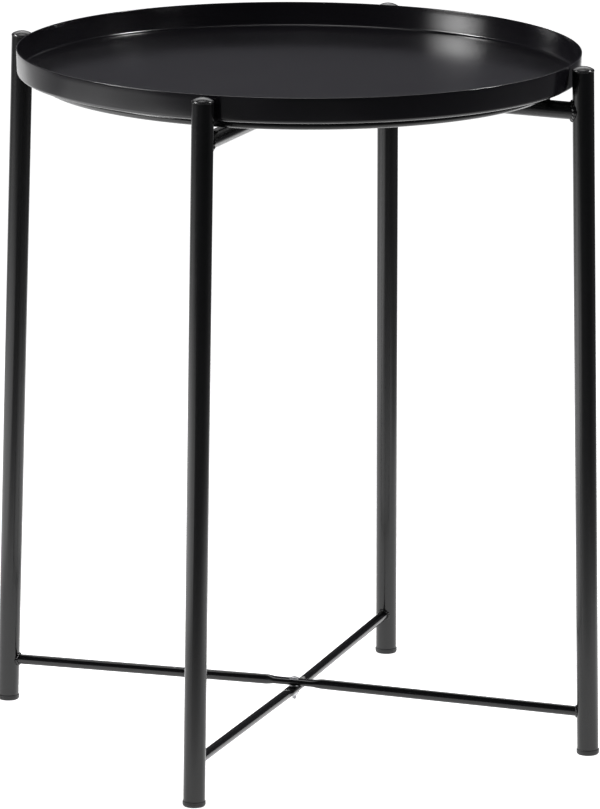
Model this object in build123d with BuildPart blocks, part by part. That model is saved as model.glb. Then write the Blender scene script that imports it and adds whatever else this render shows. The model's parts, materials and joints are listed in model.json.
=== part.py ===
from build123d import *
from math import acos, cos, degrees, radians, sin
import os

os.makedirs("parts", exist_ok=True)

# All sizes are in millimetres. Origin: centre of the footprint, on the floor. +Z is up.
# Frame A lies along X and frame B along Y.
OVERALL_HEIGHT = 515.0

# Tray
TRAY_RADIUS = 207.5
TRAY_HEIGHT = 18.8
TRAY_SHEET = 1.0
TRAY_DRAFT = 0.6  # how much smaller the wall's radius is at the floor than at the rim
TRAY_OUTER_BEND = 2.6
TRAY_INNER_BEND = 1.6
TRAY_RIM_ROUND = 0.45

# Legs: round tubes that lean out towards the floor
LEG_ANGLES = {"right": 0.0, "back": 90.0, "left": 180.0, "front": 270.0}
FRAME_ANGLES = {"a": 0.0, "b": 90.0}
LEG_RADIUS = 8.0
LEG_WALL = 1.2
LEG_TOP_SPREAD = 216.5  # table axis to leg axis, level with the tray's rim
LEG_FOOT_SPREAD = 229.0  # table axis to leg axis, on the floor

# Domed cap pressed into the top of each leg
CAP_RADIUS = 8.2
CAP_RIM = 1.4
CAP_DOME = 2.6
CAP_SHOULDER = 1.6
CAP_STEM = 12.0

# Foot glide pressed into the bottom of each leg
GLIDE_RADIUS = 8.4
GLIDE_HEIGHT = 4.0
GLIDE_EDGE = 2.2
GLIDE_STEM = 14.0
GLIDE_TRIM = 0.5  # extra depth that the floor plane cuts off square

PLUG_CLEARANCE = 0.05
EDGE_BREAK = 0.3

# Support ring, welded on top of frame A's upper crossbar
RING_RADIUS = 188.0
RING_ROD_RADIUS = 3.6
RING_WELD_GAP = 0.02

# Gaps in the stacks of the two crossings
WASHER_GAP = 0.1
BORE_CLEARANCE = 0.06

# Upper crossing: tubes pressed flat where they pass each other
UPPER_BAR_RADIUS = 6.5
UPPER_BAR_WALL = 1.2
UPPER_BAR_LEG_HEIGHT = 481.5
UPPER_FLAT_THICKNESS = 7.2
UPPER_FLAT_WIDTH = 16.0
UPPER_FLAT_REACH = 32.0
UPPER_ROUND_REACH = 45.0
UPPER_SPACER = 0.6
UPPER_WASHER = 1.0
UPPER_SHANK_RADIUS = 3.0
UPPER_HEAD_RADIUS = 6.5
UPPER_HEAD_HEIGHT = 3.3
UPPER_NUT_FLATS = 10.0
UPPER_NUT_HEIGHT = 5.0
UPPER_SHANK_PROUD = 1.5

# Lower crossing: solid rods pressed flat where they pass each other
LOWER_BAR_RADIUS = 3.75
LOWER_BAR_LEG_HEIGHT = 31.5
LOWER_FLAT_THICKNESS = 4.4
LOWER_FLAT_WIDTH = 9.6
LOWER_FLAT_REACH = 14.0
LOWER_ROUND_REACH = 20.0
LOWER_SPACER = 0.4
LOWER_WASHER = 0.6
LOWER_SHANK_RADIUS = 1.5
LOWER_HEAD_RADIUS = 3.8
LOWER_HEAD_HEIGHT = 1.6
LOWER_NUT_FLATS = 5.5
LOWER_NUT_HEIGHT = 2.4
LOWER_SHANK_PROUD = 3.0

CORNER_SHARE = 0.985  # corner radius of a pressed section, as a share of half its thickness
HEX_SIDES = 6
NUT_COLLAR_SHARE = 0.3  # share of a nut's height that its round locking collar takes
WASHER_EDGE_SHARE = 0.17  # edge chamfer of a washer, as a share of its thickness


def save(piece, name):
    piece.part.label = name
    export_step(piece.part, f"parts/{name}.step")


def leg_spread(height):
    """Distance from the table's axis to a leg's axis at a height above the floor."""
    return LEG_FOOT_SPREAD + (LEG_TOP_SPREAD - LEG_FOOT_SPREAD) * height / OVERALL_HEIGHT


def leg_point(angle, height):
    spread = leg_spread(height)
    return Vector(spread * cos(radians(angle)), spread * sin(radians(angle)), height)


def leg_profile_plane(angle):
    """Plane through a leg's axis: local X points outwards, local Y runs up the axis."""
    foot = leg_point(angle, 0)
    upward = (leg_point(angle, OVERALL_HEIGHT) - foot).normalized()
    sideways = Vector(sin(radians(angle)), -cos(radians(angle)), 0)
    outward = upward.cross(sideways)
    return Plane(origin=foot, x_dir=outward, z_dir=sideways)


def bar_section_plane(angle, reach, height):
    """Upright plane across a crossbar, at a reach from the table's axis."""
    heading = Vector(cos(radians(angle)), sin(radians(angle)), 0)
    across = Vector(-sin(radians(angle)), cos(radians(angle)), 0)
    centre = heading * reach + Vector(0, 0, height)
    return Plane(origin=centre, x_dir=across, z_dir=heading)


def dome_arc(edge, top):
    """Arc in a profile from a point at the edge of a dome up to its top on the axis."""
    radius, edge_height = edge
    rise = top - edge_height
    crown = (radius**2 + rise**2) / (2 * rise)
    sweep = 90 - degrees(acos(radius / crown))
    return CenterArc(center=(0, top - crown), radius=crown, start_angle=90 - sweep, arc_size=sweep)


LEG_LENGTH = (leg_point(0, OVERALL_HEIGHT) - leg_point(0, 0)).length
CAP_SEAT = LEG_LENGTH - CAP_RIM - CAP_DOME
PLUG_RADIUS = LEG_RADIUS - LEG_WALL - PLUG_CLEARANCE
TRAY_FLOOR = OVERALL_HEIGHT - TRAY_HEIGHT


# ---------------------------------------------------------------- tray
with BuildPart() as tray:
    with BuildSketch(Plane.XZ) as tray_profile:
        outer_corner = (TRAY_RADIUS - TRAY_DRAFT, TRAY_FLOOR)
        inner_corner = (TRAY_RADIUS - TRAY_DRAFT - TRAY_SHEET, TRAY_FLOOR + TRAY_SHEET)
        rim_outer = (TRAY_RADIUS, OVERALL_HEIGHT)
        rim_inner = (TRAY_RADIUS - TRAY_SHEET, OVERALL_HEIGHT)
        with BuildLine():
            Polyline(
                (0, TRAY_FLOOR),
                outer_corner,
                rim_outer,
                rim_inner,
                inner_corner,
                (0, TRAY_FLOOR + TRAY_SHEET),
                close=True,
            )
        make_face()
        for corner, bend in (
            (outer_corner, TRAY_OUTER_BEND),
            (inner_corner, TRAY_INNER_BEND),
            (rim_outer, TRAY_RIM_ROUND),
            (rim_inner, TRAY_RIM_ROUND),
        ):
            fillet(tray_profile.vertices().sort_by_distance(Vector(*corner))[0], bend)
    revolve(axis=Axis.Z)
save(tray, "tray")

# ---------------------------------------------------------------- legs, caps and glides
for side, angle in LEG_ANGLES.items():
    profile_plane = leg_profile_plane(angle)
    leg_axis = Axis(profile_plane.origin, profile_plane.y_dir)

    with BuildPart() as leg:
        with BuildSketch(profile_plane):
            with Locations((LEG_RADIUS - LEG_WALL / 2, (GLIDE_HEIGHT + CAP_SEAT) / 2)):
                Rectangle(LEG_WALL, CAP_SEAT - GLIDE_HEIGHT)
        revolve(axis=leg_axis)
    save(leg, f"leg_{side}")

    with BuildPart() as cap:
        with BuildSketch(profile_plane) as cap_profile:
            shoulder = (CAP_RADIUS, CAP_SEAT + CAP_RIM)
            with BuildLine():
                Polyline(
                    (0, LEG_LENGTH),
                    (0, CAP_SEAT - CAP_STEM),
                    (PLUG_RADIUS, CAP_SEAT - CAP_STEM),
                    (PLUG_RADIUS, CAP_SEAT),
                    (CAP_RADIUS - EDGE_BREAK, CAP_SEAT),
                    (CAP_RADIUS, CAP_SEAT + EDGE_BREAK),
                    shoulder,
                )
                dome_arc(shoulder, LEG_LENGTH)
            make_face()
            fillet(cap_profile.vertices().sort_by_distance(Vector(*shoulder))[0], CAP_SHOULDER)
        revolve(axis=leg_axis)
    save(cap, f"leg_cap_{side}")

    with BuildPart() as glide:
        with BuildSketch(profile_plane) as glide_profile:
            sole_corner = (GLIDE_RADIUS, -GLIDE_TRIM)
            with BuildLine():
                Polyline(
                    (0, -GLIDE_TRIM),
                    sole_corner,
                    (GLIDE_RADIUS, GLIDE_HEIGHT - EDGE_BREAK),
                    (GLIDE_RADIUS - EDGE_BREAK, GLIDE_HEIGHT),
                    (PLUG_RADIUS, GLIDE_HEIGHT),
                    (PLUG_RADIUS, GLIDE_HEIGHT + GLIDE_STEM),
                    (0, GLIDE_HEIGHT + GLIDE_STEM),
                    close=True,
                )
            make_face()
            fillet(glide_profile.vertices().sort_by_distance(Vector(*sole_corner))[0], GLIDE_EDGE)
        revolve(axis=leg_axis)
        split(bisect_by=Plane.XY, keep=Keep.TOP)
    save(glide, f"foot_glide_{side}")


# ---------------------------------------------------------------- crossbars
def bar_stations(leg_height, centre_height, radius, flat_reach, round_reach, flat_width, flat_thickness):
    """The bar is level across its pressed middle and runs straight from there to the leg."""
    width = 2 * radius
    return [
        (0, centre_height, flat_width, flat_thickness),
        (flat_reach, centre_height, flat_width, flat_thickness),
        (round_reach, centre_height, width, width),
        (leg_spread(leg_height), leg_height, width, width),
    ]


def build_crossbar(name, angle, stations, wall, bore_radius):
    """Crossbar lofted both ways from its centre and coped round the two legs. No wall: a solid rod."""
    skins = [(0, Mode.ADD)]
    if wall:
        skins.append((wall, Mode.SUBTRACT))
    headings = (angle, angle + 180)
    with BuildPart() as bar:
        for inset, mode in skins:
            for heading in headings:
                for pair in zip(stations, stations[1:]):
                    for reach, height, width, thickness in pair:
                        depth = thickness - 2 * inset
                        with BuildSketch(bar_section_plane(heading, reach, height)):
                            RectangleRounded(width - 2 * inset, depth, CORNER_SHARE * depth / 2)
                    loft(mode=mode)
        for heading in headings:
            profile_plane = leg_profile_plane(heading)
            with BuildSketch(Plane(origin=profile_plane.origin, z_dir=profile_plane.y_dir)):
                Circle(LEG_RADIUS)
            extrude(amount=LEG_LENGTH, mode=Mode.SUBTRACT)
        centre_height = stations[0][1]
        with BuildSketch(Plane.XY.offset(centre_height)):
            Circle(bore_radius)
        extrude(amount=stations[0][3], both=True, mode=Mode.SUBTRACT)
    save(bar, name)


def centre_heights(leg_height, flat_thickness, spacer):
    """Heights of frame A's and frame B's pressed middles, stacked about the spacer washer."""
    rise = (flat_thickness + spacer) / 2 + WASHER_GAP
    return {"a": leg_height + rise, "b": leg_height - rise}


UPPER_CENTRES = centre_heights(UPPER_BAR_LEG_HEIGHT, UPPER_FLAT_THICKNESS, UPPER_SPACER)
LOWER_CENTRES = centre_heights(LOWER_BAR_LEG_HEIGHT, LOWER_FLAT_THICKNESS, LOWER_SPACER)

upper_stations = {}
for frame, angle in FRAME_ANGLES.items():
    upper_stations[frame] = bar_stations(
        UPPER_BAR_LEG_HEIGHT,
        UPPER_CENTRES[frame],
        UPPER_BAR_RADIUS,
        UPPER_FLAT_REACH,
        UPPER_ROUND_REACH,
        UPPER_FLAT_WIDTH,
        UPPER_FLAT_THICKNESS,
    )
    upper_bore = UPPER_SHANK_RADIUS + BORE_CLEARANCE
    build_crossbar(f"upper_crossbar_{frame}", angle, upper_stations[frame], UPPER_BAR_WALL, upper_bore)

    lower_stations = bar_stations(
        LOWER_BAR_LEG_HEIGHT,
        LOWER_CENTRES[frame],
        LOWER_BAR_RADIUS,
        LOWER_FLAT_REACH,
        LOWER_ROUND_REACH,
        LOWER_FLAT_WIDTH,
        LOWER_FLAT_THICKNESS,
    )
    lower_bore = LOWER_SHANK_RADIUS + BORE_CLEARANCE
    build_crossbar(f"lower_crossbar_{frame}", angle, lower_stations, 0, lower_bore)


# ---------------------------------------------------------------- support ring
def bar_top(stations, reach):
    """Height of the top of a bar's straight round stretch at a reach from the table's axis."""
    (near, near_height, _, _), (far, far_height, _, thickness) = stations[-2:]
    return near_height + (far_height - near_height) * (reach - near) / (far - near) + thickness / 2


ring_height = bar_top(upper_stations["a"], RING_RADIUS) + RING_WELD_GAP + RING_ROD_RADIUS
with BuildPart() as support_ring:
    with BuildSketch(Plane.XZ):
        with Locations((RING_RADIUS, ring_height)):
            Circle(RING_ROD_RADIUS)
    revolve(axis=Axis.Z)
save(support_ring, "support_ring")


# ---------------------------------------------------------------- pivots
def build_washer(name, top, thickness, radius, shank_radius):
    with BuildPart() as washer:
        with BuildSketch(Plane.XY.offset(top - thickness)):
            Circle(radius)
            Circle(shank_radius + BORE_CLEARANCE, mode=Mode.SUBTRACT)
        extrude(amount=thickness)
        outer_edges = washer.edges().filter_by(GeomType.CIRCLE).sort_by(SortBy.RADIUS)[-2:]
        chamfer(outer_edges, thickness * WASHER_EDGE_SHARE)
    save(washer, name)


def build_nut(name, top, flats, height, shank_radius):
    """A hexagon nut with a round locking collar on its lower side."""
    collar = height * NUT_COLLAR_SHARE
    with BuildPart() as nut:
        with BuildSketch(Plane.XY.offset(top - height + collar)):
            RegularPolygon(flats / 2, HEX_SIDES, major_radius=False)
        extrude(amount=height - collar)
        chamfer(nut.faces().sort_by(Axis.Z)[-1].edges(), EDGE_BREAK)
        with BuildSketch(Plane.XY.offset(top - height)):
            Circle(flats / 2 - EDGE_BREAK)
        extrude(amount=collar)
        with BuildSketch(Plane.XY.offset(top - height)):
            Circle(shank_radius + BORE_CLEARANCE)
        extrude(amount=height, mode=Mode.SUBTRACT)
    save(nut, name)


def build_bolt(name, seat, head_radius, head_height, shank_radius, shank_end):
    """A bolt with a low domed head, hanging down from its seat."""
    with BuildPart() as bolt:
        with BuildSketch(Plane.XZ):
            with BuildLine():
                Polyline(
                    (0, seat + head_height),
                    (0, shank_end),
                    (shank_radius - EDGE_BREAK, shank_end),
                    (shank_radius, shank_end + EDGE_BREAK),
                    (shank_radius, seat),
                    (head_radius, seat),
                    (head_radius, seat + EDGE_BREAK),
                )
                dome_arc((head_radius, seat + EDGE_BREAK), seat + head_height)
            make_face()
        revolve(axis=Axis.Z)
    save(bolt, name)


def build_pivot(level, centres, flat, spacer, washer, shank, head, head_height, nut_flats, nut_height, proud):
    """Bolt, spacer washer, nut washer and nut that join the pressed middles of two crossbars."""
    bolt_seat = centres["a"] + flat / 2
    spacer_top = centres["a"] - flat / 2 - WASHER_GAP
    washer_top = centres["b"] - flat / 2 - WASHER_GAP
    nut_top = washer_top - washer
    shank_end = nut_top - nut_height - proud
    build_bolt(f"{level}_pivot_bolt", bolt_seat, head, head_height, shank, shank_end)
    build_washer(f"{level}_spacer_washer", spacer_top, spacer, head, shank)
    build_washer(f"{level}_nut_washer", washer_top, washer, head, shank)
    build_nut(f"{level}_pivot_nut", nut_top, nut_flats, nut_height, shank)


build_pivot(
    "upper",
    UPPER_CENTRES,
    UPPER_FLAT_THICKNESS,
    UPPER_SPACER,
    UPPER_WASHER,
    UPPER_SHANK_RADIUS,
    UPPER_HEAD_RADIUS,
    UPPER_HEAD_HEIGHT,
    UPPER_NUT_FLATS,
    UPPER_NUT_HEIGHT,
    UPPER_SHANK_PROUD,
)
build_pivot(
    "lower",
    LOWER_CENTRES,
    LOWER_FLAT_THICKNESS,
    LOWER_SPACER,
    LOWER_WASHER,
    LOWER_SHANK_RADIUS,
    LOWER_HEAD_RADIUS,
    LOWER_HEAD_HEIGHT,
    LOWER_NUT_FLATS,
    LOWER_NUT_HEIGHT,
    LOWER_SHANK_PROUD,
)
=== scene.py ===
import json
from math import acos, atan2, cos, pi, radians, sin, tau

import bpy
from bpy.props import FloatProperty, FloatVectorProperty, IntProperty, PointerProperty
from mathutils import Matrix, Vector, noise


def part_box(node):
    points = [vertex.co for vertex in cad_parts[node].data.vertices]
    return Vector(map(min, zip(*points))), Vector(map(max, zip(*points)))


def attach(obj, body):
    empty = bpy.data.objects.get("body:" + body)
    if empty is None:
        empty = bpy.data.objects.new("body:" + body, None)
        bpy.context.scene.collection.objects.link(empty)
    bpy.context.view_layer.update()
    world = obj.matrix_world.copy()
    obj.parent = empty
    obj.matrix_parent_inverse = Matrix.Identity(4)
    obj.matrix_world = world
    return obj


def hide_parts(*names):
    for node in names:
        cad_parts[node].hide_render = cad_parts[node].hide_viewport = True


bl_info = {
    "name": "Folding Tray Table",
    "version": (1, 0, 0),
    "blender": (4, 5, 0),
    "location": "3D Viewport > Sidebar > Tray Table",
    "description": "Finishes a folding tray table round its packed frame",
    "category": "Object",
}

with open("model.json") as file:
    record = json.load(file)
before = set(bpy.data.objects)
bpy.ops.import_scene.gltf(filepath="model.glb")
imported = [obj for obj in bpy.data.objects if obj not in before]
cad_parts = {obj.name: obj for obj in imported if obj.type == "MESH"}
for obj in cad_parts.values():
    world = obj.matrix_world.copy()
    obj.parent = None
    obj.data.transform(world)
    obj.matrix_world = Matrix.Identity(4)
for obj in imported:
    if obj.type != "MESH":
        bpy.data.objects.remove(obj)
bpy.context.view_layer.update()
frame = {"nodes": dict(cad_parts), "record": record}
record = frame["record"]
nodes = frame["nodes"]
SLOTS = {row["node"]: row["material_slot"] for row in record["subparts"]}

MM = 0.001
SIDES = {"right": 0.0, "back": 90.0, "left": 180.0, "front": 270.0}
FRAMES = {"a": (0.0, "frame_a", ("right", "left")), "b": (90.0, "frame_b", ("back", "front"))}

# Where a crossbar swells from flat to round, as shares of its two reaches, and the cosine of the turn
# at which its section comes to the corner of the flat
FLAT_START = 0.9
ROUND_END = 1.05
FLAT_CORNER = 0.22
# Rows drawn along a crossbar: shares of the flat's reach, two counts, and the last row's share of the way
FLAT_ROWS = (0.0, 0.2, 0.4, 0.6, 0.75)
SWELL_ROWS = 12
ROUND_ROWS = 8
ROUND_ROWS_END = 0.93
# Coped ends: the share of the way at which the search starts, its halvings, and the depth cut into the leg
COPE_START = 0.9
COPE_HALVINGS = 30
COPE_BITE = 0.25 * MM

# Weld beads: the parts of the girth as shares of the bead's radius, and how far the puddles stray
BEAD_LEAST = 0.84
BEAD_PUDDLE = 0.20
BEAD_WANDER = 0.16
BEAD_LUMP = 0.05
PUDDLE_STRAY = 0.35
# Leg welds: puddles in a bead, and what sets one bead's noise apart from the others
WELD_PUDDLES = {"upper": 17, "lower": 13}
WELD_SEEDS = {"upper": 11.0, "lower": 29.0}
WELD_SEED_STEP = 3.7

# Pivot bolts: shank radius, half the socket's width, height of the head and plain length below it
BOLTS = {
    "upper": {"shank": 3.0 * MM, "socket": 2.0 * MM, "head": 3.3 * MM, "plain": 9 * MM},
    "lower": {"shank": 1.5 * MM, "socket": 1.0 * MM, "head": 1.6 * MM, "plain": 5.5 * MM},
}

# Angles in degrees above which an edge stays sharp
PIECE_SHARP = 40.0
BEAD_SHARP = 75.0
BOLT_SHARP = 32.0

# Surface noises in features per metre, and the depths in metres of what they raise
CLOUD_SCALE = 14.0
PEEL_SCALE = 620.0
SPECK_SCALE = 2300.0
TURNING_SCALE = 1500.0
PEEL_DEPTH = 0.0001
GRAIN_DEPTH = 0.00004
TURNING_DEPTH = 0.00003
TURNING_STRENGTH = 0.12
TURNING_STRAY = 1.5
# Coats: where the clouds' two tones lie in the noise, the tones of the specks, the shares of the roughness
# between which the gloss wanders and what the peel adds to it, and the refractive index
CLOUD_STOPS = (0.32, 0.68)
SPECK_TONES = (0.72, 1.28)
SPECK_SHARE = 0.5
GLOSS_SHARES = (0.93, 1.07)
PEEL_GLOSS = (-0.015, 0.02)
COAT_IOR = 1.5

# Studio floor: half its width in metres, its squares each way, its roughness and its mottle
FLOOR_REACH = 14.0
FLOOR_STEPS = 28
FLOOR_ROUGHNESS = 0.95
FLOOR_MOTTLE = 0.99
FLOOR_MOTTLE_SCALE = 3.0

# Painted light in the floor's glow: two painted pools of light, one under and behind the table and one to its
# left, each across the camera's view and away from it, in pairs of a distance in metres from the table's
# middle and a brightness
PAINTED_GLOW_STRENGTH = 2.4
PAINTED_POOL_UNDER_ACROSS = ((-0.9, 0.0), (-0.6, 0.45), (0.6, 0.45), (0.9, 0.10), (1.3, 0.0))
PAINTED_POOL_UNDER_AWAY = (
    (-2.6, 0.02), (-1.4, 0.08), (-1.15, 0.09), (-0.85, 0.2), (-0.7, 0.38), (-0.5, 0.6), (-0.3, 1.0),
    (4.2, 1.0), (6.0, 0.05),
)
PAINTED_POOL_LEFT_ACROSS = ((-3.2, 0.02), (-2.6, 0.5), (-1.9, 0.55), (-1.4, 0.95), (-0.7, 0.95), (-0.5, 0.02))
PAINTED_POOL_LEFT_AWAY = ((-1.6, 0.04), (-1.0, 0.7), (-0.2, 1.0), (0.5, 0.7), (0.9, 0.3), (2.2, 0.5), (3.5, 0.1))

# Soft lights: name, place, aim, size, power in watts and spread in degrees
LIGHTS = (
    ("overhead", (-0.3, 0.6, 2.6), (-0.2, 0.4, 0.0), (1.8, 1.4), 3.4, 50.0),
    ("back_panel", (0, 2.2, 2.2), (0, 0, 0.5), (2.6, 1.4), 3.4, 60.0),
    ("left_panel", (-1.85, -0.7, 0.95), (0, 0, 0.6), (1.5, 0.8), 2.2, 30.0),
    ("left_spot", (-1.5, -0.1, 1.35), (0, 0, 0.5), (0.35, 0.35), 0.9, 30.0),
    ("right_spot", (1.5, -0.1, 1.45), (0, 0, 0.5), (0.35, 0.35), 1.1, 30.0),
)
# Surroundings: heights on the ramp and the colours there
WORLD_STOPS = ((0.2, (0.080, 0.079, 0.088, 1)), (0.5, (0.045, 0.045, 0.050, 1)))
# Camera: width of its sensor in millimetres, and how far it sees in metres
SENSOR_WIDTH = 36.0
VIEW_END = 60.0

tray_low, tray_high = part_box("tray")
ring_low, ring_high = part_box("support_ring")


# ---------------------------------------------------------------- sizes a user would change
class TraySizes(bpy.types.PropertyGroup):
    """The pressed sheet tray"""

    radius: FloatProperty(
        name="Radius", description="Tray radius at the rim", default=207.5 * MM, unit="LENGTH"
    )
    floor: FloatProperty(
        name="Underside", description="Height of the tray's underside", default=tray_low.z, unit="LENGTH"
    )
    rim: FloatProperty(
        name="Rim", description="Height of the top of the rim", default=tray_high.z, unit="LENGTH"
    )
    sheet: FloatProperty(
        name="Sheet", description="Sheet metal thickness", default=1.0 * MM, unit="LENGTH"
    )
    draft: FloatProperty(
        name="Draft", description="How far the wall leans out from floor to rim",
        default=0.6 * MM, unit="LENGTH",
    )
    bend: FloatProperty(
        name="Bend", description="Outer radius of the bend under the wall", default=2.6 * MM, unit="LENGTH"
    )
    sag: FloatProperty(
        name="Sag", description="How far the sheet wanders from flat", default=0.05 * MM, unit="LENGTH"
    )
    segments: IntProperty(
        name="Segments", description="Steps round the tray", default=384, min=96, max=1024
    )


class RingSizes(bpy.types.PropertyGroup):
    """The support ring under the tray"""

    radius: FloatProperty(
        name="Radius", description="Radius of the ring's centreline", default=188.0 * MM, unit="LENGTH"
    )
    rod: FloatProperty(
        name="Rod", description="Radius of the ring's rod",
        default=(ring_high.z - ring_low.z) / 2, unit="LENGTH",
    )
    height: FloatProperty(
        name="Height", description="Height of the rod's centre",
        default=(ring_high.z + ring_low.z) / 2, unit="LENGTH",
    )
    segments: IntProperty(
        name="Segments", description="Steps round the ring", default=288, min=96, max=1024
    )


class LegSizes(bpy.types.PropertyGroup):
    """The leaning tube legs"""

    radius: FloatProperty(name="Radius", description="Tube radius", default=8.0 * MM, unit="LENGTH")
    top_spread: FloatProperty(
        name="Top spread", description="Table axis to leg axis at the rim", default=216.5 * MM, unit="LENGTH"
    )
    foot_spread: FloatProperty(
        name="Foot spread", description="Table axis to leg axis on the floor",
        default=229.0 * MM, unit="LENGTH",
    )
    height: FloatProperty(
        name="Height", description="Height of the leg tops", default=tray_high.z, unit="LENGTH"
    )


class UpperBarSizes(bpy.types.PropertyGroup):
    """The tube crossbars under the tray"""

    radius: FloatProperty(name="Radius", description="Tube radius", default=6.5 * MM, unit="LENGTH")
    leg_height: FloatProperty(
        name="Leg height", description="Height at which the bar meets its legs",
        default=481.5 * MM, unit="LENGTH",
    )
    bow: FloatProperty(
        name="Bow", description="How far the middle stands off that height", default=4.0 * MM, unit="LENGTH"
    )
    flat_width: FloatProperty(
        name="Flat width", description="Width of the pressed middle", default=16.0 * MM, unit="LENGTH"
    )
    flat_thickness: FloatProperty(
        name="Flat thickness", description="Thickness of the pressed middle", default=7.2 * MM, unit="LENGTH"
    )
    flat_reach: FloatProperty(
        name="Flat reach", description="Half length of the pressed middle", default=32.0 * MM, unit="LENGTH"
    )
    round_reach: FloatProperty(
        name="Round reach", description="Where the bar is fully round again", default=45.0 * MM, unit="LENGTH"
    )
    bead: FloatProperty(name="Bead", description="Weld bead radius", default=1.9 * MM, unit="LENGTH")


class LowerBarSizes(bpy.types.PropertyGroup):
    """The rod crossbars near the floor"""

    radius: FloatProperty(name="Radius", description="Rod radius", default=3.75 * MM, unit="LENGTH")
    leg_height: FloatProperty(
        name="Leg height", description="Height at which the bar meets its legs",
        default=31.5 * MM, unit="LENGTH",
    )
    bow: FloatProperty(
        name="Bow", description="How far the middle stands off that height", default=2.5 * MM, unit="LENGTH"
    )
    flat_width: FloatProperty(
        name="Flat width", description="Width of the pressed middle", default=9.6 * MM, unit="LENGTH"
    )
    flat_thickness: FloatProperty(
        name="Flat thickness", description="Thickness of the pressed middle", default=4.4 * MM, unit="LENGTH"
    )
    flat_reach: FloatProperty(
        name="Flat reach", description="Half length of the pressed middle", default=15.5 * MM, unit="LENGTH"
    )
    round_reach: FloatProperty(
        name="Round reach", description="Where the bar is fully round again", default=21.5 * MM, unit="LENGTH"
    )
    bead: FloatProperty(name="Bead", description="Weld bead radius", default=1.3 * MM, unit="LENGTH")


class BoltSizes(bpy.types.PropertyGroup):
    """The pivot bolts"""

    upper_pitch: FloatProperty(
        name="Upper pitch", description="Thread pitch of the upper bolt", default=1.0 * MM, unit="LENGTH"
    )
    lower_pitch: FloatProperty(
        name="Lower pitch", description="Thread pitch of the lower bolt", default=0.5 * MM, unit="LENGTH"
    )


class Finishes(bpy.types.PropertyGroup):
    """Colours and gloss"""

    tray_colour: FloatVectorProperty(
        name="Tray coat", description="Colour of the tray's powder coat", subtype="COLOR",
        size=3, min=0, max=1, default=(0.0036, 0.0033, 0.0044),
    )
    frame_colour: FloatVectorProperty(
        name="Frame coat", description="Colour of the frame's powder coat", subtype="COLOR",
        size=3, min=0, max=1, default=(0.0028, 0.0029, 0.0031),
    )
    cap_colour: FloatVectorProperty(
        name="Caps", description="Colour of the leg caps", subtype="COLOR",
        size=3, min=0, max=1, default=(0.0120, 0.0120, 0.0125),
    )
    glide_colour: FloatVectorProperty(
        name="Glides", description="Colour of the foot glides", subtype="COLOR",
        size=3, min=0, max=1, default=(0.0050, 0.0050, 0.0054),
    )
    zinc_colour: FloatVectorProperty(
        name="Zinc", description="Colour of the plated fasteners", subtype="COLOR",
        size=3, min=0, max=1, default=(0.62, 0.62, 0.64),
    )
    tray_roughness: FloatProperty(
        name="Tray roughness", description="Middle roughness of the tray's coat", subtype="FACTOR",
        default=0.15, min=0, max=1,
    )
    frame_roughness: FloatProperty(
        name="Frame roughness", description="Middle roughness of the frame's coat", subtype="FACTOR",
        default=0.17, min=0, max=1,
    )
    cap_roughness: FloatProperty(
        name="Cap roughness", description="Middle roughness of the leg caps", subtype="FACTOR",
        default=0.24, min=0, max=1,
    )
    glide_roughness: FloatProperty(
        name="Glide roughness", description="Middle roughness of the foot glides", subtype="FACTOR",
        default=0.42, min=0, max=1,
    )
    zinc_roughness: FloatProperty(
        name="Zinc roughness", description="Middle roughness of the plated fasteners", subtype="FACTOR",
        default=0.30, min=0, max=1,
    )


class StageSizes(bpy.types.PropertyGroup):
    """Floor, lights and camera"""

    turn: FloatProperty(
        name="Turn", description="How far the camera stands round from frame B",
        subtype="ANGLE", default=0.31747,
    )
    distance: FloatProperty(
        name="Distance", description="Camera's distance along the floor", default=4.9251, unit="LENGTH"
    )
    height: FloatProperty(
        name="Height", description="Camera's height above the floor", default=1.3657, unit="LENGTH"
    )
    pitch: FloatProperty(
        name="Pitch", description="How far the camera looks down", subtype="ANGLE", default=0.223494
    )
    yaw: FloatProperty(
        name="Yaw", description="How far the camera looks to the right of the table's axis",
        subtype="ANGLE", default=0.000215,
    )
    roll: FloatProperty(
        name="Roll", description="Camera's roll", subtype="ANGLE", default=-0.007589
    )
    lens: FloatProperty(
        name="Lens", description="Focal length in millimetres", default=302.77112, min=10, unit="CAMERA"
    )
    shift_x: FloatProperty(
        name="Shift X", description="Sideways lens shift, as a share of the sensor", default=0.0026205192
    )
    shift_y: FloatProperty(
        name="Shift Y", description="Upward lens shift, as a share of the sensor", default=0.00093572311
    )
    floor_colour: FloatVectorProperty(
        name="Floor", description="Colour of the studio floor", subtype="COLOR",
        size=3, min=0, max=1, default=(0.86, 0.86, 0.86),
    )


GROUPS = {
    "tray_sizes": TraySizes,
    "ring_sizes": RingSizes,
    "leg_sizes": LegSizes,
    "upper_bar_sizes": UpperBarSizes,
    "lower_bar_sizes": LowerBarSizes,
    "bolt_sizes": BoltSizes,
    "finishes": Finishes,
    "stage_sizes": StageSizes,
}


# ---------------------------------------------------------------- materials
def noise_node(tree, position, scale, detail):
    """Cloudy noise over a position, in features per metre and octaves of detail."""
    node = tree.nodes.new("ShaderNodeTexNoise")
    node.inputs["Scale"].default_value = scale
    node.inputs["Detail"].default_value = detail
    node.inputs["Roughness"].default_value = 0.5
    tree.links.new(position, node.inputs["Vector"])
    return node


def spread_node(tree, factor, low, high):
    """Maps a noise's middle range to a low and a high value."""
    node = tree.nodes.new("ShaderNodeMapRange")
    node.inputs["From Min"].default_value = 0.3
    node.inputs["From Max"].default_value = 0.7
    node.inputs["To Min"].default_value = low
    node.inputs["To Max"].default_value = high
    tree.links.new(factor, node.inputs["Value"])
    return node


def mix_node(tree, blend, first, second, share=1.0):
    """Blends a second colour over a first."""
    node = tree.nodes.new("ShaderNodeMix")
    node.data_type = "RGBA"
    node.blend_type = blend
    node.inputs["Factor"].default_value = share
    tree.links.new(first, node.inputs["A"])
    tree.links.new(second, node.inputs["B"])
    return node


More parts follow.
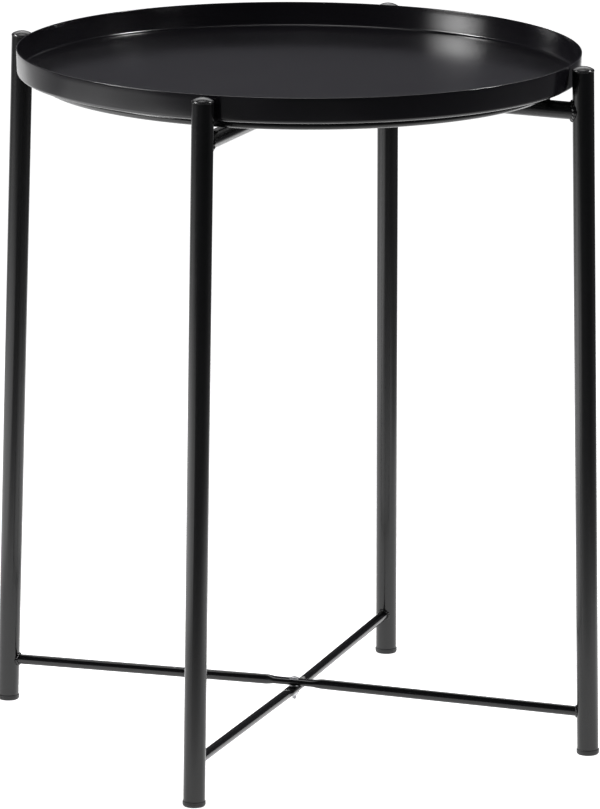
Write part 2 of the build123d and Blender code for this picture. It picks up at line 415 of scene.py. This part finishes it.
def bump_node(tree, height, strength, depth, below=None):
    """Raises a height map on the skin, over the normal of a bump below it."""
    node = tree.nodes.new("ShaderNodeBump")
    node.inputs["Strength"].default_value = strength
    node.inputs["Distance"].default_value = depth
    tree.links.new(height, node.inputs["Height"])
    if below:
        tree.links.new(below, node.inputs["Normal"])
    return node


def coat_material(name, colour, roughness, peel, grain, patchy=0.10, dust=0.0, metallic=0.0):
    """A sprayed or moulded skin: colour and gloss wander a little, over an orange peel and a fine grain."""
    material = bpy.data.materials.new(name)
    material.use_nodes = True
    tree = material.node_tree
    tree.nodes.clear()
    output = tree.nodes.new("ShaderNodeOutputMaterial")
    shader = tree.nodes.new("ShaderNodeBsdfPrincipled")
    tree.links.new(shader.outputs["BSDF"], output.inputs["Surface"])
    shader.inputs["Metallic"].default_value = metallic
    shader.inputs["IOR"].default_value = COAT_IOR
    place = tree.nodes.new("ShaderNodeTexCoord").outputs["Object"]

    broad = noise_node(tree, place, CLOUD_SCALE, detail=2.0)
    fine = noise_node(tree, place, PEEL_SCALE, detail=2.0)
    specks = noise_node(tree, place, SPECK_SCALE, detail=1.0)

    ramp = tree.nodes.new("ShaderNodeValToRGB")
    dark = [c * (1 - patchy) for c in colour]
    light = [min(1.0, c * (1 + patchy)) for c in colour]
    for mark, position, tone in zip(ramp.color_ramp.elements, CLOUD_STOPS, (dark, light)):
        mark.position = position
        mark.color = (*tone, 1)
    tree.links.new(broad.outputs["Fac"], ramp.inputs["Fac"])

    tones = spread_node(tree, specks.outputs["Fac"], *SPECK_TONES)
    flecked = mix_node(tree, "MULTIPLY", ramp.outputs["Color"], tones.outputs["Result"], SPECK_SHARE)
    tree.links.new(flecked.outputs["Result"], shader.inputs["Base Color"])

    gloss = tree.nodes.new("ShaderNodeMath")
    gloss.operation = "ADD"
    wander = spread_node(tree, broad.outputs["Fac"], *(roughness * share for share in GLOSS_SHARES))
    ripple = spread_node(tree, fine.outputs["Fac"], PEEL_GLOSS[0], PEEL_GLOSS[1] + dust)
    tree.links.new(wander.outputs["Result"], gloss.inputs[0])
    tree.links.new(ripple.outputs["Result"], gloss.inputs[1])
    tree.links.new(gloss.outputs["Value"], shader.inputs["Roughness"])

    skin = bump_node(tree, fine.outputs["Fac"], peel, PEEL_DEPTH)
    grit = bump_node(tree, specks.outputs["Fac"], grain, GRAIN_DEPTH, skin.outputs["Normal"])
    tree.links.new(grit.outputs["Normal"], shader.inputs["Normal"])
    return material


def turned_metal_material(name, colour, roughness):
    """Zinc plate: pale metal with fine turning marks and cloudy patches."""
    material = coat_material(
        name, colour, roughness, peel=0.10, grain=0.10, patchy=0.06, dust=0.02, metallic=1.0
    )
    tree = material.node_tree
    shader = next(n for n in tree.nodes if n.type == "BSDF_PRINCIPLED")
    place = next(n for n in tree.nodes if n.type == "TEX_COORD").outputs["Object"]
    rings = tree.nodes.new("ShaderNodeTexWave")
    rings.wave_type = "RINGS"
    rings.rings_direction = "Z"
    rings.inputs["Scale"].default_value = TURNING_SCALE
    rings.inputs["Distortion"].default_value = TURNING_STRAY
    tree.links.new(place, rings.inputs["Vector"])
    below = shader.inputs["Normal"].links[0].from_socket
    marks = bump_node(tree, rings.outputs["Fac"], TURNING_STRENGTH, TURNING_DEPTH, below)
    tree.links.new(marks.outputs["Normal"], shader.inputs["Normal"])
    return material


def painted_pool_band(tree, position, stops):
    """Painted light: a painted pool's brightness along one level direction, from pairs of a distance in
    metres and a brightness.
    """
    low = stops[0][0]
    high = stops[-1][0]
    share = spread_node(tree, position, 0.0, 1.0)
    share.inputs["From Min"].default_value = low
    share.inputs["From Max"].default_value = high
    ramp = tree.nodes.new("ShaderNodeValToRGB")
    ramp.color_ramp.interpolation = "EASE"
    marks = ramp.color_ramp.elements
    while len(marks) < len(stops):
        marks.new(0.5)
    for mark, (distance, level) in zip(marks, stops):
        mark.position = (distance - low) / (high - low)
        mark.color = (level, level, level, 1)
    tree.links.new(share.outputs["Result"], ramp.inputs["Fac"])
    return ramp


def floor_material(name, colour, turn):
    """A pale matte floor with the faintest mottle, whose emission paints pools of light, brightest under and
    behind the object.
    """
    material = bpy.data.materials.new(name)
    material.use_nodes = True
    tree = material.node_tree
    shader = next(n for n in tree.nodes if n.type == "BSDF_PRINCIPLED")
    shader.inputs["Roughness"].default_value = FLOOR_ROUGHNESS
    shader.inputs["Specular IOR Level"].default_value = 0.0
    place = tree.nodes.new("ShaderNodeTexCoord").outputs["Object"]
    mottle = noise_node(tree, place, FLOOR_MOTTLE_SCALE, detail=4.0)
    ramp = tree.nodes.new("ShaderNodeValToRGB")
    ramp.color_ramp.elements[0].color = (*[c * FLOOR_MOTTLE for c in colour], 1)
    ramp.color_ramp.elements[1].color = (*colour, 1)
    tree.links.new(mottle.outputs["Fac"], ramp.inputs["Fac"])
    tree.links.new(ramp.outputs["Color"], shader.inputs["Base Color"])

    turned = tree.nodes.new("ShaderNodeMapping")
    turned.inputs["Rotation"].default_value = (0, 0, -turn)
    tree.links.new(place, turned.inputs["Vector"])
    split = tree.nodes.new("ShaderNodeSeparateXYZ")
    tree.links.new(turned.outputs["Vector"], split.inputs["Vector"])
    painted_pools = []
    bands = ((PAINTED_POOL_UNDER_ACROSS, PAINTED_POOL_UNDER_AWAY), (PAINTED_POOL_LEFT_ACROSS, PAINTED_POOL_LEFT_AWAY))
    for across_stops, away_stops in bands:
        across = painted_pool_band(tree, split.outputs["X"], across_stops)
        away = painted_pool_band(tree, split.outputs["Y"], away_stops)
        painted_pools.append(mix_node(tree, "MULTIPLY", across.outputs["Color"], away.outputs["Color"]))
    painted_glow = mix_node(tree, "LIGHTEN", painted_pools[0].outputs["Result"], painted_pools[1].outputs["Result"])
    # painted light: the floor's emission glows in the two painted pools of light, though the floor is no lamp
    tree.links.new(painted_glow.outputs["Result"], shader.inputs["Emission Color"])
    shader.inputs["Emission Strength"].default_value = PAINTED_GLOW_STRENGTH
    return material


def finish_for(slot):
    """The finish for one of the record's material slots, made the first time it is asked for."""
    name = f"{slot}_finish"
    if name in bpy.data.materials:
        return bpy.data.materials[name]
    looks = bpy.context.scene.finishes
    if slot == "tray_coat":
        return coat_material(name, looks.tray_colour, looks.tray_roughness, peel=0.10, grain=0.06)
    if slot == "frame_coat":
        return coat_material(name, looks.frame_colour, looks.frame_roughness, peel=0.14, grain=0.10)
    if slot == "cap_plastic":
        return coat_material(name, looks.cap_colour, looks.cap_roughness, peel=0.05, grain=0.03)
    if slot == "glide_plastic":
        return coat_material(
            name, looks.glide_colour, looks.glide_roughness, peel=0.20, grain=0.30, patchy=0.15
        )
    if slot == "fastener_steel":
        return turned_metal_material(name, looks.zinc_colour, looks.zinc_roughness)
    raise RuntimeError(f"no finish is known for the slot {slot}")


# ---------------------------------------------------------------- mesh helpers
def add_piece(name, vertices, faces, slot, body, replaced=(), sharp=PIECE_SHARP):
    """Makes a smooth-shaded piece that rides on a body and stands for any CAD nodes named."""
    if not vertices or not faces:
        raise RuntimeError(f"{name} has no surface")
    mesh = bpy.data.meshes.new(name)
    mesh.from_pydata([tuple(v) for v in vertices], [], faces)
    if mesh.validate():
        raise RuntimeError(f"{name} had bad faces")
    mesh.shade_smooth()
    mesh.set_sharp_from_angle(angle=radians(sharp))
    mesh.materials.append(finish_for(slot))
    piece = bpy.data.objects.new(name, mesh)
    bpy.context.scene.collection.objects.link(piece)
    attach(piece, body)
    if replaced:
        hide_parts(*replaced)


def grid_faces(rows, columns, close_rows, start=0):
    """Quads over a grid of vertices whose columns wrap round."""
    faces = []
    for i in range(rows if close_rows else rows - 1):
        for j in range(columns):
            a = start + i * columns + j
            b = start + i * columns + (j + 1) % columns
            c = start + ((i + 1) % rows) * columns + (j + 1) % columns
            d = start + ((i + 1) % rows) * columns + j
            faces.append((a, b, c, d))
    return faces


def arc_points(centre, radius, start, end, steps):
    """Points on an arc in a profile, from one angle to another in degrees."""
    points = []
    for i in range(steps + 1):
        angle = radians(start + (end - start) * i / steps)
        points.append((centre[0] + radius * cos(angle), centre[1] + radius * sin(angle)))
    return points


def lathe(profile, segments, wander):
    """Spins a profile that starts and ends on the Z axis. wander moves every point off the axis."""
    inner = profile[1:-1]
    vertices = [Vector((0, 0, profile[0][1]))]
    for radius, height in inner:
        for j in range(segments):
            angle = tau * j / segments
            vertices.append(wander(Vector((radius * cos(angle), radius * sin(angle), height))))
    vertices.append(Vector((0, 0, profile[-1][1])))
    last = len(vertices) - 1
    faces = [(0, 1 + (j + 1) % segments, 1 + j) for j in range(segments)]
    faces += grid_faces(len(inner), segments, False, 1)
    ring_start = 1 + (len(inner) - 1) * segments
    faces += [(last, ring_start + j, ring_start + (j + 1) % segments) for j in range(segments)]
    return vertices, faces


def leg_axis(angle):
    """A leg's foot on the floor and the unit vector up its axis."""
    sizes = bpy.context.scene.leg_sizes
    heading = Vector((cos(radians(angle)), sin(radians(angle)), 0))
    foot = heading * sizes.foot_spread
    top = heading * sizes.top_spread + Vector((0, 0, sizes.height))
    return foot, (top - foot).normalized()


def off_axis(point, foot, up):
    """Vector from a leg's axis to a point, square to the axis."""
    rel = point - foot
    return rel - up * rel.dot(up)


def smooth_step(value, low, high):
    t = min(1.0, max(0.0, (value - low) / (high - low)))
    return t * t * (3 - 2 * t)


def bar_section(sizes, reach):
    """Half width of the flat part and half thickness of a bar at a reach from the table's axis."""
    share = smooth_step(abs(reach), sizes.flat_reach * FLAT_START, sizes.round_reach * ROUND_END)
    thickness = sizes.flat_thickness + (2 * sizes.radius - sizes.flat_thickness) * share
    width = sizes.flat_width + (2 * sizes.radius - sizes.flat_width) * share
    return max(0.0, (width - thickness) / 2), thickness / 2


def bar_centre(sizes, reach, rise, end):
    """Height of a bar's centreline: level in the middle, then straight to the leg."""
    share = max(0.0, (abs(reach) - sizes.round_reach) / (end - sizes.round_reach))
    return sizes.leg_height + rise * (1 - share)


def bar_point(sizes, heading, reach, turn, rise, end):
    """A point on a bar's skin. turn runs round the section from its side over its top."""
    flat, half = bar_section(sizes, reach)
    across = Vector((-heading.y, heading.x, 0))
    sideways = half * cos(turn) + flat * max(-1.0, min(1.0, cos(turn) / FLAT_CORNER))
    height = bar_centre(sizes, reach, rise, end) + half * sin(turn)
    return heading * reach + across * sideways + Vector((0, 0, height))


def coped_reach(sizes, heading, side, turn, rise, end, skin):
    """Reach at which a line along a bar's skin meets the leg's skin, by halving."""
    angle = 180.0 / pi * atan2(heading.y * side, heading.x * side)
    foot, up = leg_axis(angle)
    near = end * COPE_START
    far = end
    for _ in range(COPE_HALVINGS):
        middle = (near + far) / 2
        point = bar_point(sizes, heading, middle * side, turn, rise, end)
        if off_axis(point, foot, up).length > skin:
            near = middle
        else:
            far = middle
    return (near + far) / 2


def spread_at(height):
    sizes = bpy.context.scene.leg_sizes
    return sizes.foot_spread + (sizes.top_spread - sizes.foot_spread) * height / sizes.height


# ---------------------------------------------------------------- pieces
class TRAYTABLE_OT_tray(bpy.types.Operator):
    """Press the tray: a round sheet floor with an upright wall, bends and a rounded rim"""

    bl_idname = "traytable.tray"
    bl_label = "Tray"

    def execute(self, context):
        sizes = context.scene.tray_sizes
        outer_foot = sizes.radius - sizes.draft
        top_inner = sizes.floor + sizes.sheet
        inner_bend = sizes.bend - sizes.sheet
        lip = 0.45 * sizes.sheet
        outer_bend_centre = (outer_foot - sizes.bend, sizes.floor + sizes.bend)
        inner_foot = outer_foot - sizes.sheet
        inner_bend_centre = (inner_foot - inner_bend, top_inner + inner_bend)
        floor_rows = [0.02, 0.05, 0.09, 0.13, 0.165, 0.19]
        profile = [(0, sizes.floor)]
        profile += [(r, sizes.floor) for r in floor_rows]
        profile += arc_points(outer_bend_centre, sizes.bend, -90, 0, 10)
        wall_low = sizes.floor + sizes.bend
        wall_high = sizes.rim - lip
        for share in (0.25, 0.5, 0.75, 1.0):
            height = wall_low + (wall_high - wall_low) * share
            lean = sizes.draft * (height - sizes.floor) / (sizes.rim - sizes.floor)
            profile.append((outer_foot + lean, height))
        profile += arc_points((sizes.radius - lip, wall_high), lip, 0, 90, 5)[1:]
        profile += arc_points((sizes.radius - sizes.sheet + lip, wall_high), lip, 90, 180, 5)
        wall_low = top_inner + inner_bend
        for share in (0.75, 0.5, 0.25):
            height = wall_low + (wall_high - wall_low) * share
            lean = sizes.draft * (height - sizes.floor) / (sizes.rim - sizes.floor)
            profile.append((inner_foot + lean, height))
        profile += arc_points(inner_bend_centre, inner_bend, 0, -90, 8)
        profile += [(r, top_inner) for r in reversed(floor_rows)]
        profile.append((0, top_inner))

        wander_end = (0.17, 0.2)
        wander_scale = 9

        def wander(point):
            """The sheet is a little uneven, the same on both faces, and true at the rim."""
            radius = Vector((point.x, point.y)).length
            fade = 1 - smooth_step(radius, *wander_end)
            spot = Vector((point.x * wander_scale, point.y * wander_scale, 3.1))
            lift = noise.noise(spot) * sizes.sag * fade
            return Vector((point.x, point.y, point.z + abs(lift)))

        vertices, faces = lathe(profile, sizes.segments, wander)
        add_piece("tray_pan", vertices, faces, "tray_coat", "tray", ["tray"])
        return {"FINISHED"}


class TRAYTABLE_OT_ring(bpy.types.Operator):
    """Bend the support ring from round rod, closed by a dressed butt weld"""

    bl_idname = "traytable.ring"
    bl_label = "Support ring"

    def execute(self, context):
        sizes = context.scene.ring_sizes
        around = 28
        seam = radians(58)
        seam_swell = 0.02
        seam_reach = 2.4 * MM
        vertices = []
        for i in range(sizes.segments):
            angle = tau * i / sizes.segments
            heading = Vector((cos(angle), sin(angle), 0))
            gap = (angle - seam + pi) % tau - pi
            swell = 1 - seam_swell + seam_swell * cos(min(pi, abs(gap) * sizes.radius / seam_reach))
            for j in range(around):
                turn = tau * j / around
                point = heading * (sizes.radius + sizes.rod * swell * cos(turn))
                point.z = sizes.height + sizes.rod * swell * sin(turn)
                vertices.append(point)
        faces = grid_faces(sizes.segments, around, True)
        add_piece("support_ring_rod", vertices, faces, "frame_coat", "frame_a", ["support_ring"])
        return {"FINISHED"}


def bar_rows(sizes):
    """Reaches at which a bar is drawn, from one leg to the other, without the coped ends."""
    reaches = [sizes.flat_reach * r for r in FLAT_ROWS]
    flat_end = sizes.flat_reach * FLAT_START
    round_start = sizes.round_reach * ROUND_END
    span = round_start - flat_end
    reaches += [flat_end + span * i / SWELL_ROWS for i in range(SWELL_ROWS + 1)]
    run = spread_at(sizes.leg_height) * ROUND_ROWS_END - round_start
    reaches += [round_start + run * i / ROUND_ROWS for i in range(1, ROUND_ROWS + 1)]
    return sorted([-r for r in reaches if r > 0] + reaches)


def build_bar(name, key, sizes, rise, replaced):
    """A crossbar swept from leg to leg, pressed flat in the middle and coped at both ends."""
    angle, body, _ = FRAMES[key]
    heading = Vector((cos(radians(angle)), sin(radians(angle)), 0))
    end = spread_at(sizes.leg_height)
    around = 48
    skin = bpy.context.scene.leg_sizes.radius - COPE_BITE
    turns = [tau * j / around for j in range(around)]
    vertices = []

    def coped_row(side):
        for turn in turns:
            reach = coped_reach(sizes, heading, side, turn, rise, end, skin)
            vertices.append(bar_point(sizes, heading, reach * side, turn, rise, end))

    coped_row(-1)
    rows = bar_rows(sizes)
    for reach in rows:
        for turn in turns:
            vertices.append(bar_point(sizes, heading, reach, turn, rise, end))
    coped_row(1)
    count = len(rows) + 2
    faces = grid_faces(count, around, False)
    for row, outward in ((0, False), (count - 1, True)):
        loop = [row * around + j for j in range(around)]
        hub = sum((vertices[i] for i in loop), Vector()) / around
        vertices.append(hub)
        middle = len(vertices) - 1
        for j in range(around):
            a = loop[j]
            b = loop[(j + 1) % around]
            faces.append((a, b, middle) if outward else (b, a, middle))
    add_piece(name, vertices, faces, "frame_coat", body, [replaced])


def build_bead(name, path, normals, radius, body, seed, puddles):
    """A weld bead: a closed run of overlapping puddles along a path."""
    around = 20
    count = len(path)
    vertices = []
    for i in range(count):
        ahead = (path[(i + 1) % count] - path[i - 1]).normalized()
        normal = normals[i]
        normal = (normal - ahead * normal.dot(ahead)).normalized()
        side = ahead.cross(normal)
        phase = puddles * i / count + PUDDLE_STRAY * noise.noise(Vector((i * 9.0 / count, seed, 0.5)))
        puddle = abs(sin(pi * phase))
        drift = noise.noise(Vector((i * 14.0 / count, seed, 2.7)))
        size = radius * (BEAD_LEAST + BEAD_PUDDLE * puddle + BEAD_WANDER * drift)
        for j in range(around):
            turn = tau * j / around
            lump = 1 + BEAD_LUMP * noise.noise(Vector((i * 40.0 / count, j * 0.7, seed)))
            vertices.append(path[i] + (normal * cos(turn) + side * sin(turn)) * size * lump)
    add_piece(name, vertices, grid_faces(count, around, True), "frame_coat", body, sharp=BEAD_SHARP)


def build_leg_welds(level, key, sizes, rise):
    """The beads that join one crossbar to its two legs."""
    angle, body, sides = FRAMES[key]
    heading = Vector((cos(radians(angle)), sin(radians(angle)), 0))
    end = spread_at(sizes.leg_height)
    skin = bpy.context.scene.leg_sizes.radius
    count = 150
    for side, side_name in ((1, sides[0]), (-1, sides[1])):
        foot, up = leg_axis(angle if side > 0 else angle + 180)
        path = []
        normals = []
        for i in range(count):
            turn = tau * i / count
            reach = coped_reach(sizes, heading, side, turn, rise, end, skin)
            point = bar_point(sizes, heading, reach * side, turn, rise, end)
            leg_normal = off_axis(point, foot, up).normalized()
            across = Vector((-heading.y, heading.x, 0))
            bar_normal = across * cos(turn) + Vector((0, 0, sin(turn)))
            path.append(point)
            normals.append((leg_normal + bar_normal).normalized())
        seed = WELD_SEED_STEP * SIDES[side_name] / 90.0 + WELD_SEEDS[level]
        name = f"weld_{level}_{side_name}"
        build_bead(name, path, normals, sizes.bead, body, seed, WELD_PUDDLES[level])


class TRAYTABLE_OT_upper_bars(bpy.types.Operator):
    """Draw the two upper tube crossbars, pressed flat where they cross under the tray"""

    bl_idname = "traytable.upper_bars"
    bl_label = "Upper crossbars"

    def execute(self, context):
        sizes = context.scene.upper_bar_sizes
        for key, way in (("a", 1), ("b", -1)):
            build_bar(f"upper_bar_{key}", key, sizes, way * sizes.bow, f"upper_crossbar_{key}")
        return {"FINISHED"}


class TRAYTABLE_OT_lower_bars(bpy.types.Operator):
    """Draw the two lower rod crossbars, pressed flat where they cross near the floor"""

    bl_idname = "traytable.lower_bars"
    bl_label = "Lower crossbars"

    def execute(self, context):
        sizes = context.scene.lower_bar_sizes
        for key, way in (("a", 1), ("b", -1)):
            build_bar(f"lower_bar_{key}", key, sizes, way * sizes.bow, f"lower_crossbar_{key}")
        return {"FINISHED"}


class TRAYTABLE_OT_leg_welds(bpy.types.Operator):
    """Run the weld beads that join the crossbars to the legs"""

    bl_idname = "traytable.leg_welds"
    bl_label = "Leg welds"

    def execute(self, context):
        upper = context.scene.upper_bar_sizes
        lower = context.scene.lower_bar_sizes
        for key, way in (("a", 1), ("b", -1)):
            build_leg_welds("upper", key, upper, way * upper.bow)
            build_leg_welds("lower", key, lower, way * lower.bow)
        return {"FINISHED"}


class TRAYTABLE_OT_ring_welds(bpy.types.Operator):
    """Lay the short beads that hold the support ring on the upper crossbar"""

    bl_idname = "traytable.ring_welds"
    bl_label = "Ring welds"

    def execute(self, context):
        ring = context.scene.ring_sizes
        bar = context.scene.upper_bar_sizes
        end = spread_at(bar.leg_height)
        offset = 2.3 * MM
        half_length = 3.6 * MM
        half_width = 1.5 * MM
        half_height = 1.35 * MM
        lift = 0.5 * MM
        rows = 40
        around = 20
        for side, side_name in ((1, "right"), (-1, "left")):
            for way, place in ((1, "outer"), (-1, "inner")):
                reach = ring.radius + way * offset
                top = bar_centre(bar, reach, bar.bow, end) + bar.radius
                vertices = []
                for i in range(rows):
                    share = -1 + 2 * (i + 0.5) / rows
                    slope = acos(share)
                    for j in range(around):
                        turn = tau * j / around
                        puddle = 0.88 + 0.14 * abs(sin(slope * 4.5))
                        lump = 1 + 0.10 * noise.noise(Vector((share * 3, cos(turn) * 2, side * 5 + way)))
                        girth = sin(slope) * puddle * lump
                        drop = (1 - sin(slope) ** 2) * 0.9 * MM
                        out = side * (reach + half_width * girth * cos(turn))
                        height = top - drop + lift + half_height * girth * sin(turn)
                        vertices.append(Vector((out, half_length * share, height)))
                faces = grid_faces(rows, around, False)
                if side < 0:
                    faces = [tuple(reversed(f)) for f in faces]
                for row, flip in ((0, side > 0), (rows - 1, side < 0)):
                    loop = [row * around + j for j in range(around)]
                    faces.append(tuple(loop if flip else reversed(loop)))
                name = f"weld_ring_{side_name}_{place}"
                add_piece(name, vertices, faces, "frame_coat", "frame_a", sharp=BEAD_SHARP)
        return {"FINISHED"}


def build_bolt(name, node, pitch, shank, socket, head, plain):
    """A pivot bolt: a domed head with a hexagon socket above, and a rolled thread below."""
    low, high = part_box(node)
    head_radius = high.x
    seat = high.z - head
    segments = 72
    vertices = []
    rings = []

    def ring(radius_of, height_of):
        rings.append(len(vertices))
        for j in range(segments):
            turn = tau * j / segments
            radius = radius_of(turn)
            vertices.append(Vector((radius * cos(turn), radius * sin(turn), height_of(turn))))

    def hexagon(size):
        def radius_of(turn):
            wedge = (turn + pi / 6) % (pi / 3) - pi / 6
            return size / cos(wedge)
        return radius_of

    def level(height):
        return lambda turn: height

    def even(radius):
        return lambda turn: radius

    thread_top = seat - plain
    thread_steps = 8
    depth = 0.54 * pitch
    chamfer = 0.7 * depth
    edge = 0.3 * MM
    dome_rows = 9
    dome_power = 2.2
    socket_lip = 0.12 * MM

    vertices.append(Vector((0, 0, low.z)))
    ring(even(shank - depth - chamfer), level(low.z))
    steps = int((thread_top - low.z) / pitch * thread_steps)
    for i in range(1, steps + 1):
        height = low.z + (thread_top - low.z) * i / steps
        fade_in = min(1.0, (height - low.z) / pitch)

        def threaded(turn, height=height, fade_in=fade_in):
            phase = (height / pitch - turn / tau) % 1.0
            crest = 1 - abs(2 * phase - 1)
            crest = min(1.0, max(0.0, (crest - 0.1) / 0.8))
            return shank - depth * (1 - crest * fade_in) - chamfer * (1 - fade_in)

        ring(threaded, level(height))
    ring(even(shank), level(thread_top + 0.2 * MM))
    ring(even(shank), level(seat))
    ring(even(head_radius - edge * 0.3), level(seat))
    ring(even(head_radius), level(seat + edge * 0.4))
    ring(even(head_radius), level(seat + edge))
    rise = high.z - seat - edge
    for i in range(1, dome_rows):
        share = i / dome_rows
        radius = head_radius * (1 - share) + socket * 1.25 * share
        height = seat + edge + rise * (1 - (1 - share) ** dome_power)
        ring(even(radius), level(height))
    ring(even(socket * 1.22), level(high.z))
    ring(hexagon(socket), level(high.z - socket_lip))
    ring(hexagon(socket * 0.97), level(high.z - 0.55 * (high.z - seat)))
    vertices.append(Vector((0, 0, high.z - 0.72 * (high.z - seat))))
    last = len(vertices) - 1
    faces = [(0, 1 + (j + 1) % segments, 1 + j) for j in range(segments)]
    faces += grid_faces(len(rings), segments, False, 1)
    start = rings[-1]
    faces += [(last, start + j, start + (j + 1) % segments) for j in range(segments)]
    add_piece(name, vertices, faces, "fastener_steel", "frame_a", [node], sharp=BOLT_SHARP)


class TRAYTABLE_OT_bolts(bpy.types.Operator):
    """Turn the two pivot bolts, with domed socket heads and rolled threads"""

    bl_idname = "traytable.bolts"
    bl_label = "Pivot bolts"

    def execute(self, context):
        sizes = context.scene.bolt_sizes
        for level, pitch in (("upper", sizes.upper_pitch), ("lower", sizes.lower_pitch)):
            build_bolt(f"{level}_bolt", f"{level}_pivot_bolt", pitch, **BOLTS[level])
        return {"FINISHED"}


class TRAYTABLE_OT_coats(bpy.types.Operator):
    """Coat the legs, caps, glides, washers and nuts that keep their CAD shape"""

    bl_idname = "traytable.coats"
    bl_label = "Coats"

    def execute(self, context):
        for name, node in nodes.items():
            if node.hide_render:
                continue
            node.data.materials.clear()
            node.data.materials.append(finish_for(SLOTS[name]))
        return {"FINISHED"}


# ---------------------------------------------------------------- stage
def studio_point(x, y, z):
    """A point given as right of, away from and above the table, as the camera sees it."""
    turn = bpy.context.scene.stage_sizes.turn
    return Vector((x * cos(turn) - y * sin(turn), x * sin(turn) + y * cos(turn), z))


def soft_light(name, place, aim, size, power, spread):
    """A rectangular soft box at a place, aimed at a point."""
    data = bpy.data.lights.new(name, "AREA")
    data.shape = "RECTANGLE"
    data.size = size[0]
    data.size_y = size[1]
    data.energy = power
    data.spread = radians(spread)
    light = bpy.data.objects.new(name, data)
    light.location = studio_point(*place)
    direction = studio_point(*aim) - light.location
    light.rotation_euler = direction.to_track_quat("-Z", "Y").to_euler()
    bpy.context.scene.collection.objects.link(light)


class TRAYTABLE_OT_stage(bpy.types.Operator):
    """Set the pale floor, the soft lights, the surroundings and the camera"""

    bl_idname = "traytable.stage"
    bl_label = "Stage"

    def execute(self, context):
        scene = context.scene
        sizes = scene.stage_sizes
        scene.view_settings.view_transform = "Standard"

        marks = [-FLOOR_REACH + 2 * FLOOR_REACH * i / FLOOR_STEPS for i in range(FLOOR_STEPS + 1)]
        vertices = [(x, y, 0.0) for x in marks for y in marks]
        faces = []
        for i in range(FLOOR_STEPS):
            for j in range(FLOOR_STEPS):
                a = i * len(marks) + j
                b = a + len(marks)
                faces.append((a, b, b + 1, a + 1))
        mesh = bpy.data.meshes.new("studio_floor")
        mesh.from_pydata(vertices, [], faces)
        # the floor's material paints pools of light into its emission
        mesh.materials.append(floor_material("studio_floor", sizes.floor_colour, sizes.turn))
        floor = bpy.data.objects.new("studio_floor", mesh)
        scene.collection.objects.link(floor)

        for entry in LIGHTS:
            soft_light(*entry)

        world = bpy.data.worlds.new("studio")
        world.use_nodes = True
        tree = world.node_tree
        background = next(n for n in tree.nodes if n.type == "BACKGROUND")
        place = tree.nodes.new("ShaderNodeTexCoord")
        split = tree.nodes.new("ShaderNodeSeparateXYZ")
        ramp = tree.nodes.new("ShaderNodeValToRGB")
        tree.links.new(place.outputs["Generated"], split.inputs["Vector"])
        tree.links.new(split.outputs["Z"], ramp.inputs["Fac"])
        tree.links.new(ramp.outputs["Color"], background.inputs["Color"])
        for mark, (height, colour) in zip(ramp.color_ramp.elements, WORLD_STOPS):
            mark.position = height
            mark.color = colour
        scene.world = world

        camera_data = bpy.data.cameras.new("camera")
        camera_data.lens = sizes.lens
        camera_data.sensor_width = SENSOR_WIDTH
        camera_data.shift_x = sizes.shift_x
        camera_data.shift_y = sizes.shift_y
        camera_data.clip_end = VIEW_END
        camera = bpy.data.objects.new("camera", camera_data)
        turn = Matrix.Rotation(sizes.turn, 3, "Z")
        level_share = cos(sizes.pitch)
        ahead = turn @ Vector(
            (sin(sizes.yaw) * level_share, cos(sizes.yaw) * level_share, -sin(sizes.pitch))
        )
        level = turn @ Vector((cos(sizes.yaw), -sin(sizes.yaw), 0))
        down = ahead.cross(level)
        right = cos(sizes.roll) * level + sin(sizes.roll) * down
        below = -sin(sizes.roll) * level + cos(sizes.roll) * down
        place = Matrix.Translation(studio_point(0, -sizes.distance, sizes.height))
        camera.matrix_world = place @ Matrix((right, -below, -ahead)).transposed().to_4x4()
        scene.collection.objects.link(camera)
        scene.camera = camera
        return {"FINISHED"}


OPERATORS = (
    TRAYTABLE_OT_tray,
    TRAYTABLE_OT_ring,
    TRAYTABLE_OT_upper_bars,
    TRAYTABLE_OT_lower_bars,
    TRAYTABLE_OT_leg_welds,
    TRAYTABLE_OT_ring_welds,
    TRAYTABLE_OT_bolts,
    TRAYTABLE_OT_coats,
    TRAYTABLE_OT_stage,
)


class TRAYTABLE_PT_panel(bpy.types.Panel):
    """Lists the table's sizes and the steps that build it"""

    bl_idname = "TRAYTABLE_PT_panel"
    bl_label = "Folding Tray Table"
    bl_space_type = "VIEW_3D"
    bl_region_type = "UI"
    bl_category = "Tray Table"

    def draw(self, context):
        layout = self.layout
        for name, group in GROUPS.items():
            box = layout.box()
            box.label(text=group.__doc__)
            for entry in group.__annotations__:
                box.prop(getattr(context.scene, name), entry)
        for operator in OPERATORS:
            layout.operator(operator.bl_idname)


def register():
    for group in GROUPS.values():
        bpy.utils.register_class(group)
    for name, group in GROUPS.items():
        setattr(bpy.types.Scene, name, PointerProperty(type=group))
    for operator in OPERATORS:
        bpy.utils.register_class(operator)
    bpy.utils.register_class(TRAYTABLE_PT_panel)


def unregister():
    bpy.utils.unregister_class(TRAYTABLE_PT_panel)
    for operator in reversed(OPERATORS):
        bpy.utils.unregister_class(operator)
    for name in GROUPS:
        delattr(bpy.types.Scene, name)
    for group in reversed(GROUPS.values()):
        bpy.utils.unregister_class(group)


def main():
    register()
    for operator in OPERATORS:
        group, name = operator.bl_idname.split(".")
        getattr(getattr(bpy.ops, group), name)()


if __name__ == "__main__":
    main()
